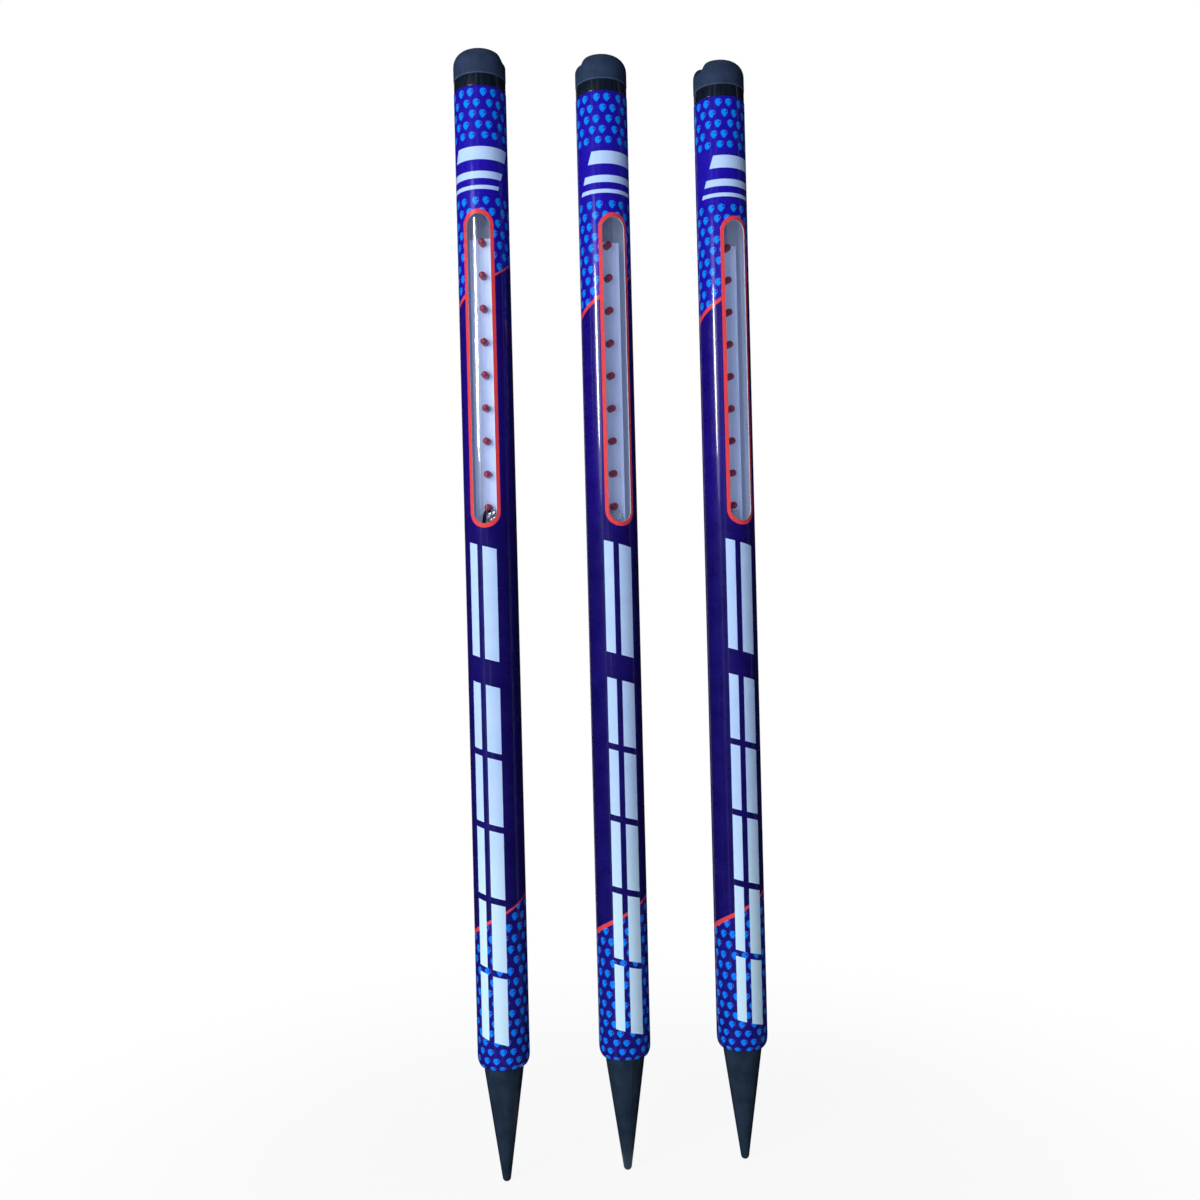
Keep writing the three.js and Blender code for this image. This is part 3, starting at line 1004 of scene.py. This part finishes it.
def sleeve_mesh(materials, seed):
    """The skin with its wall: print outside, pale back inside with a painted glow and a painted light
    band, and pale cut edges that are partly a painted highlight.
    """
    outside = sleeve_radius - tube_radius
    outer_points, outer_faces, strips = skin_shape(outside, seed)
    inner_points, inner_faces, _ = skin_shape(outside - SLEEVE_WALL, seed)
    shift = len(outer_points)
    edges = skin_edges(strips, shift)
    faces = outer_faces + [[shift + i for i in face] for face in inner_faces] + edges
    mesh = bpy.data.meshes.new("sleeve_film")
    mesh.from_pydata(outer_points + inner_points, [], faces)
    coat(mesh, *materials)
    kinds = [0] * len(outer_faces) + [1] * len(inner_faces) + [2] * len(edges)
    mesh.polygons.foreach_set("material_index", kinds)
    tidy_mesh(mesh, weld=False)
    add_print_map(mesh)
    smooth(mesh)
    return mesh


def cap_blank():
    """Cap without its groove: a rounded top and skirt over a hollow plug."""
    hollow_high = skirt_low + CAP_HOLLOW_RISE
    return make_mesh("cap_body", turned(rounded([
        (0.0, hollow_high, 0), (CAP_PLUG_BORE, hollow_high, 6 * EASE),
        (CAP_PLUG_BORE, cap_low, 6 * EASE), (CAP_PLUG_RADIUS, cap_low, 8 * EASE),
        (CAP_PLUG_RADIUS, skirt_low, 3 * EASE), (sleeve_radius, skirt_low, 6 * EASE),
        (sleeve_radius, cap_high - CAP_CROWN, CAP_CORNER), (0.0, cap_high, 0),
    ], 12), ROUND))


def groove_cutter():
    """The bail groove as a solid, with a rounded floor and flared lips."""
    floor = cap_high - GROOVE_DEPTH
    half = GROOVE_WIDTH / 2
    wide = half + GROOVE_LIP + CUT_OVER
    profile = rounded([
        (-wide, cap_high + CUT_OVER, 0), (-wide, cap_high, 0),
        (-half, cap_high, GROOVE_LIP), (-half, floor, GROOVE_FILLET),
        (half, floor, GROOVE_FILLET), (half, cap_high, GROOVE_LIP),
        (wide, cap_high, 0), (wide, cap_high + CUT_OVER, 0),
    ], 8, closed=True)
    reach = sleeve_radius + CUT_OVER
    solid = extruded(profile, -reach, reach)
    return make_mesh("cap_groove", moved(solid, QUARTER_Z @ QUARTER_X))


def cap_mesh(material):
    """Rubber cap with the bail groove across it, its edges softened."""
    soft = settled("cap_rubber", cut("cap_rubber", cap_blank(), groove_cutter()), [
        ("REMESH", {"mode": "VOXEL", "voxel_size": CAP_VOXEL, "use_smooth_shade": True}),
        ("SMOOTH", {"factor": 0.5, "iterations": 6}),
    ])
    coat(soft, material)
    return soft


def plug_shape():
    """Top plug: body in the tube, glossy collar on its end, and the stepped socket."""
    body = bore_radius - SEAT_GAP
    collar = model.radii("top_plug")[1]
    collar_low = plug_high - COLLAR_RISE
    return turned(rounded([
        (0.0, plug_low, 0), (body, plug_low, 5 * EASE),
        (body, collar_low, 2 * EASE), (collar, collar_low, 4 * EASE),
        (collar, plug_high, 4 * EASE), (SOCKET_RADIUS, plug_high, 5 * EASE),
        (SOCKET_RADIUS, SOCKET_FLOOR, 4 * EASE), (SEAT_RADIUS, SOCKET_FLOOR, 3 * EASE),
        (SEAT_RADIUS, SEAT_FLOOR, 3 * EASE), (0.0, SEAT_FLOOR, 0),
    ]))


def button_shape():
    """Push button with a land round its slightly dished head."""
    low, high = model.heights("power_button")
    land = BUTTON_RADIUS - BUTTON_LAND
    return turned(rounded([
        (0.0, low, 0), (BUTTON_RADIUS, low, 3 * EASE), (BUTTON_RADIUS, high, 9 * EASE),
        (land, high, 4 * EASE), (land - BUTTON_STEP, high - BUTTON_STEP, 4 * EASE),
        (0.0, high - BUTTON_DISH, 0),
    ]), SMALL_ROUND * 2)


def channel_outline():
    """Cross-section of the channel: a face with a lip along each edge, and two side walls."""
    points = model.local("led_channel")
    half = max(p.x for p in points)
    back = max(p.y for p in points)
    face = -CHANNEL_FACE
    inner = face + CHANNEL_FACE_WALL + CHANNEL_LIP_RISE
    lip = half - CHANNEL_LIP
    step = face + CHANNEL_LIP_RISE
    side = half - CHANNEL_SIDE_WALL
    return rounded([
        (-half, face, 2.5 * EASE), (-lip, face, 2 * EASE), (-lip, step, EASE),
        (lip, step, EASE), (lip, face, 2 * EASE), (half, face, 2.5 * EASE),
        (half, back, 3 * EASE), (side, back, 3 * EASE), (side, inner, 3 * EASE),
        (-side, inner, 3 * EASE), (-side, back, 3 * EASE), (-half, back, 3 * EASE),
    ], 3, closed=True)


def channel_mesh(material):
    """Pale channel with lips along its edges and a hole for each lamp."""
    strip = make_mesh("channel_blank", extruded(channel_outline(), channel_low, channel_high), material)
    corners = [(0.0, -CUT_OVER), (LAMP_HOLE, -CUT_OVER), (LAMP_HOLE, CUT_OVER), (0.0, CUT_OVER)]
    drill = turned(corners, SMALL_ROUND)
    places = [Matrix.Translation((0, -CHANNEL_FACE, height)) for height in lamp_heights]
    holes = together(*[moved(drill, place @ QUARTER_X) for place in places])
    mesh = cut("channel_strip", strip, make_mesh("channel_holes", holes))
    add_strip_map(mesh)
    smooth(mesh)
    return mesh


def lamp_shape():
    """One lamp standing on its base at the origin: flange, barrel and dome."""
    barrel = lamp_foot - min(lamp_depths) - LAMP_RADIUS
    outline = rounded([
        (0.0, 0.0, 0), (LAMP_FLANGE, 0.0, 1.5 * EASE), (LAMP_FLANGE, LAMP_FLANGE_THICK, 2 * EASE),
        (LAMP_RADIUS, LAMP_FLANGE_THICK, 1.5 * EASE), (LAMP_RADIUS, barrel, 0),
    ])
    for k in range(1, DOME_STEPS + 1):
        angle = pi / 2 * k / DOME_STEPS
        outline.append((LAMP_RADIUS * cos(angle), barrel + LAMP_RADIUS * sin(angle)))
    return turned(outline, SMALL_ROUND)


def glue_mesh(name, centre, size, seed, lumps, material):
    """A crumpled dab: a ball squashed to a size and pushed in and out by noise."""
    work = bmesh.new()
    bmesh.ops.create_icosphere(work, subdivisions=5, radius=1.0)
    for vertex in work.verts:
        way = vertex.co.normalized()
        push = noise.fractal(way * LUMP_SCALE + Vector((seed, 0, 0)), *LUMP_NOISE)
        crease = abs(noise.noise(way * CREASE_SCALE + Vector((0, seed, 0))))
        far = 1.0 + lumps * push - 0.5 * lumps * crease
        vertex.co = Vector([way[k] * far * size[k] + centre[k] for k in range(3)])
    mesh = bpy.data.meshes.new(name)
    work.to_mesh(mesh)
    work.free()
    coat(mesh, material)
    mesh.shade_smooth()
    return mesh


def wire_mesh(name, points, radius, material):
    """A short wire along a smooth curve through some points."""
    curve = bpy.data.curves.new(name, "CURVE")
    curve.dimensions = "3D"
    curve.bevel_depth = radius
    curve.bevel_resolution = 4
    curve.use_fill_caps = True
    spline = curve.splines.new("BEZIER")
    spline.bezier_points.add(len(points) - 1)
    for knot, place in zip(spline.bezier_points, points):
        knot.co = place
        knot.handle_left_type = knot.handle_right_type = "AUTO"
    work = add_object(name, curve)
    mesh = bpy.data.meshes.new_from_object(work)
    bpy.data.objects.remove(work)
    tidy_mesh(mesh)
    coat(mesh, material)
    mesh.shade_smooth()
    return mesh


# Assembly


def dress_barrels():
    """Spike, tube, sleeve, top plug, cap and button of each stump."""
    film = [printed_film(), film_back(), film_edge_highlight()]
    spike = make_mesh("spike_moulding", spike_shape(), satin_black())
    tube = make_mesh("tube_clear", tube_shape(), clear_tube())
    plug = make_mesh("plug_moulding", plug_shape(), gloss_black())
    red = moulded("button_red", (168, 30, 26), (190, 40, 34), 0.3)
    button = make_mesh("button_moulding", button_shape(), red)
    cap = cap_mesh(rubber())
    for seed, stump in enumerate(stumps):
        for name, mesh, body, node in (
            ("spike_moulding", spike, "stump", "spike"),
            ("tube_clear", tube, "stump", "tube"),
            ("sleeve_film", sleeve_mesh(film, seed), "stump", "sleeve"),
            ("plug_moulding", plug, "stump", "top_plug"),
            ("button_moulding", button, "power_button", "power_button"),
            ("cap_rubber", cap, "cap", "cap"),
        ):
            add_piece(stump, name, mesh, body, node, node)


def dress_lamps():
    """Pale channel and lamps of each stump."""
    channel = channel_mesh(pale_channel())
    lamp = make_mesh("lamp", lamp_shape(), lamp_resin())
    for stump in stumps:
        add_piece(stump, "channel_strip", channel, "stump", "led_channel", "led_channel")
        for number, height in enumerate(lamp_heights, 1):
            place = Matrix.Translation((0, lamp_foot, height)) @ QUARTER_X
            add_piece(stump, f"lamp_{number}", lamp, "stump", "led", f"led_{number}", place=place)


def add_wire_end(stump):
    """A dab of solder and the end of a wire on top of the glue."""
    solder = glue_mesh("solder", SOLDER_CENTRE, SOLDER_SIZE, SOLDER_SEED, SOLDER_LUMPS, solder_tin())
    add_piece(stump, "solder_dab", solder, "stump", "led_channel")
    jacket = moulded("wire_jacket", (12, 14, 24), (22, 26, 38), 0.3)
    knots = [(x, GLUE_FACE - out, height) for x, out, height in WIRE_KNOTS]
    wire = wire_mesh("lead", knots, WIRE_RADIUS, jacket)
    add_piece(stump, "lead_wire", wire, "stump", "led_channel")


def dress_glue():
    """Glue at the foot of each window, with a wire's end in the left one."""
    milky = glue()
    for stump, seed in zip(stumps, GLUE_SEEDS):
        dab = glue_mesh(f"{stump.side}_dab", GLUE_CENTRE, GLUE_SIZE, seed, GLUE_LUMPS, milky)
        add_piece(stump, "glue_dab", dab, "stump", "led_channel")
        if stump.side == "left":
            add_wire_end(stump)


def finish_insides():
    """Materials of the CAD pieces that show with their own shapes."""
    board = circuit_board()
    finishes = {
        "carrier": moulded("carrier_grey", (168, 174, 196), (182, 188, 210), 0.45),
        "led_board": board,
        "control_board": board,
        "battery": cell_wrap(),
    }
    for stump in stumps:
        for node, material in finishes.items():
            coat(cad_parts[f"{stump.side}_{node}"].data, material)


# Studio

WHITE = (1.0, 1.0, 1.0, 1.0)
WORLD_COLOUR = (0.86, 0.92, 1.0, 1.0)
WORLD_LIGHT = 0.09
FLOOR_COLOUR = (0.92, 0.93, 0.95, 1.0)
FLOOR_SIZE = 12.0
FLOOR_SHADOW = 0.90
FLOOR_NEAR = 0.15
FLOOR_FAR = 0.60
AIM = Vector((0.0, 0.0, 0.34))
LAMPS = (
    # name, azimuth, height, distance, width, tall, watts, colour, rays that see it
    ("key", -46.0, 0.60, 2.1, 1.6, 1.7, 49.0, (0.97, 0.985, 1.0), "diffuse"),
    ("front_fill", -16.0, 0.20, 2.0, 0.9, 0.9, 5.5, (0.92, 0.96, 1.0), "diffuse"),
    ("near_strip", -56.0, 0.590, 0.45, 0.060, 0.20, 1.3, (1.0, 0.99, 0.98), "glossy"),
    ("near_glow", -54.0, 0.600, 0.48, 0.20, 0.34, 0.33, (0.94, 0.97, 1.0), "glossy"),
    ("back_fill", 167.0, 1.10, 2.2, 1.4, 1.4, 16.0, (0.90, 0.95, 1.0), "diffuse"),
)
CARD_DARK = ((0.010, 0.011, 0.014, 1.0), (0.016, 0.017, 0.020, 1.0))
CARD_NEAR = 0.02
CARD_FAR = 0.75
CARD_OFF_FLOOR = 0.001
CARD_HIGH = 2.60
CARD_STEP = 3.0
# Each card's first and last azimuth; the white surroundings mirror between them
CARDS = ((-26.0, 77.5), (79.0, 198.0), (201.0, 306.5), (308.5, 332.0))


def lay_floor():
    """Pale floor at the tips: white to the camera, with some of the shadow kept near them."""
    half = FLOOR_SIZE / 2
    corners = [(-half, -half), (half, -half), (half, half), (-half, half)]
    points = [(x, y, spike_low) for x, y in corners]
    mat = Nodes("studio_floor")
    pale = mat.surface(FLOOR_COLOUR, 0.9)
    glow = mat.node("Emission", Color=WHITE)
    x, y, _ = mat.axes()
    white = mat.spread(distance(mat, x, y), FLOOR_NEAR, FLOOR_FAR, FLOOR_SHADOW, 1.0)
    share = mat.times(mat.sees_white(), white)
    material = mat.done(mat.mix_shaders(share, pale, glow.outputs[0]))
    floor = add_object("studio_floor", make_mesh("studio_floor", (points, [[0, 1, 2, 3]]), material))


def card_shape(first, last):
    """A card bent round the stumps, with its own piece of dark floor."""
    low = spike_low + CARD_OFF_FLOOR
    steps = round((last - first) / CARD_STEP)
    points, faces = [], []
    for k in range(steps + 1):
        angle = radians(first + (last - first) * k / steps)
        for far, height in ((CARD_NEAR, low), (CARD_FAR, low), (CARD_FAR, CARD_HIGH)):
            points.append(polar(far, angle, height))
        if k < steps:
            faces += [[i, i + 3, i + 4, i + 1] for i in (3 * k, 3 * k + 1)]
    return points, faces


def stand_cards():
    """Dark cards that only reflections see, so that the gloss doesn't wash out."""
    mat = Nodes("dark_card")
    material = mat.finish(mat.mix(mat.noise(6.0), *CARD_DARK), 1.0, Specular_IOR_Level=0.0)
    for number, (first, last) in enumerate(CARDS, 1):
        name = f"dark_card_{number}"
        card = add_object(name, make_mesh(name, card_shape(first, last), material))
        card.visible_camera = False
        card.visible_diffuse = False
        card.visible_transmission = False
        card.visible_shadow = False


def light_world():
    """White to the camera and in reflections, and a dim cool light on everything."""
    sky = Nodes("studio", bpy.data.worlds, "OutputWorld")
    lit = sky.node("Background", Color=WORLD_COLOUR, Strength=WORLD_LIGHT)
    white = sky.node("Background", Color=WHITE, Strength=1.0)
    mixed = sky.mix_shaders(sky.sees_white(), lit.outputs[0], white.outputs[0])
    scene.world = sky.done(mixed)


def hang_lamps():
    """Area lamps aimed at the stumps: wide ones light them, near ones only show in gloss."""
    for name, azimuth, height, far, width, tall, watts, colour, seen_by in LAMPS:
        light = bpy.data.lights.new(name, "AREA")
        light.shape = "ELLIPSE" if seen_by == "glossy" else "RECTANGLE"
        light.size = width
        light.size_y = tall
        light.energy = watts
        light.color = colour
        lamp = add_object(name, light)
        lamp.location = polar(far, radians(azimuth), height)
        lamp.rotation_euler = (AIM - lamp.location).to_track_quat("-Z", "Y").to_euler()
        lamp.visible_camera = False
        lamp.visible_glossy = seen_by == "glossy"
        lamp.visible_diffuse = seen_by == "diffuse"


def set_camera():
    data = bpy.data.cameras.new("camera")
    data.lens = CAMERA_LENS
    data.sensor_width = CAMERA_SENSOR
    data.sensor_fit = "HORIZONTAL"
    data.shift_y = CAMERA_SHIFT_Y
    data.clip_start = CAMERA_CLIP
    camera = add_object("camera", data)
    level = Matrix.Rotation(CAMERA_YAW, 4, "Z") @ QUARTER_X
    camera.matrix_world = Matrix.Translation(CAMERA_PLACE) @ level @ Matrix.Rotation(CAMERA_ROLL, 4, "Z")
    scene.camera = camera
    scene.view_settings.view_transform = "Standard"


set_camera()
dress_barrels()
dress_lamps()
dress_glue()
finish_insides()
lay_floor()
stand_cards()
light_world()
hang_lamps()
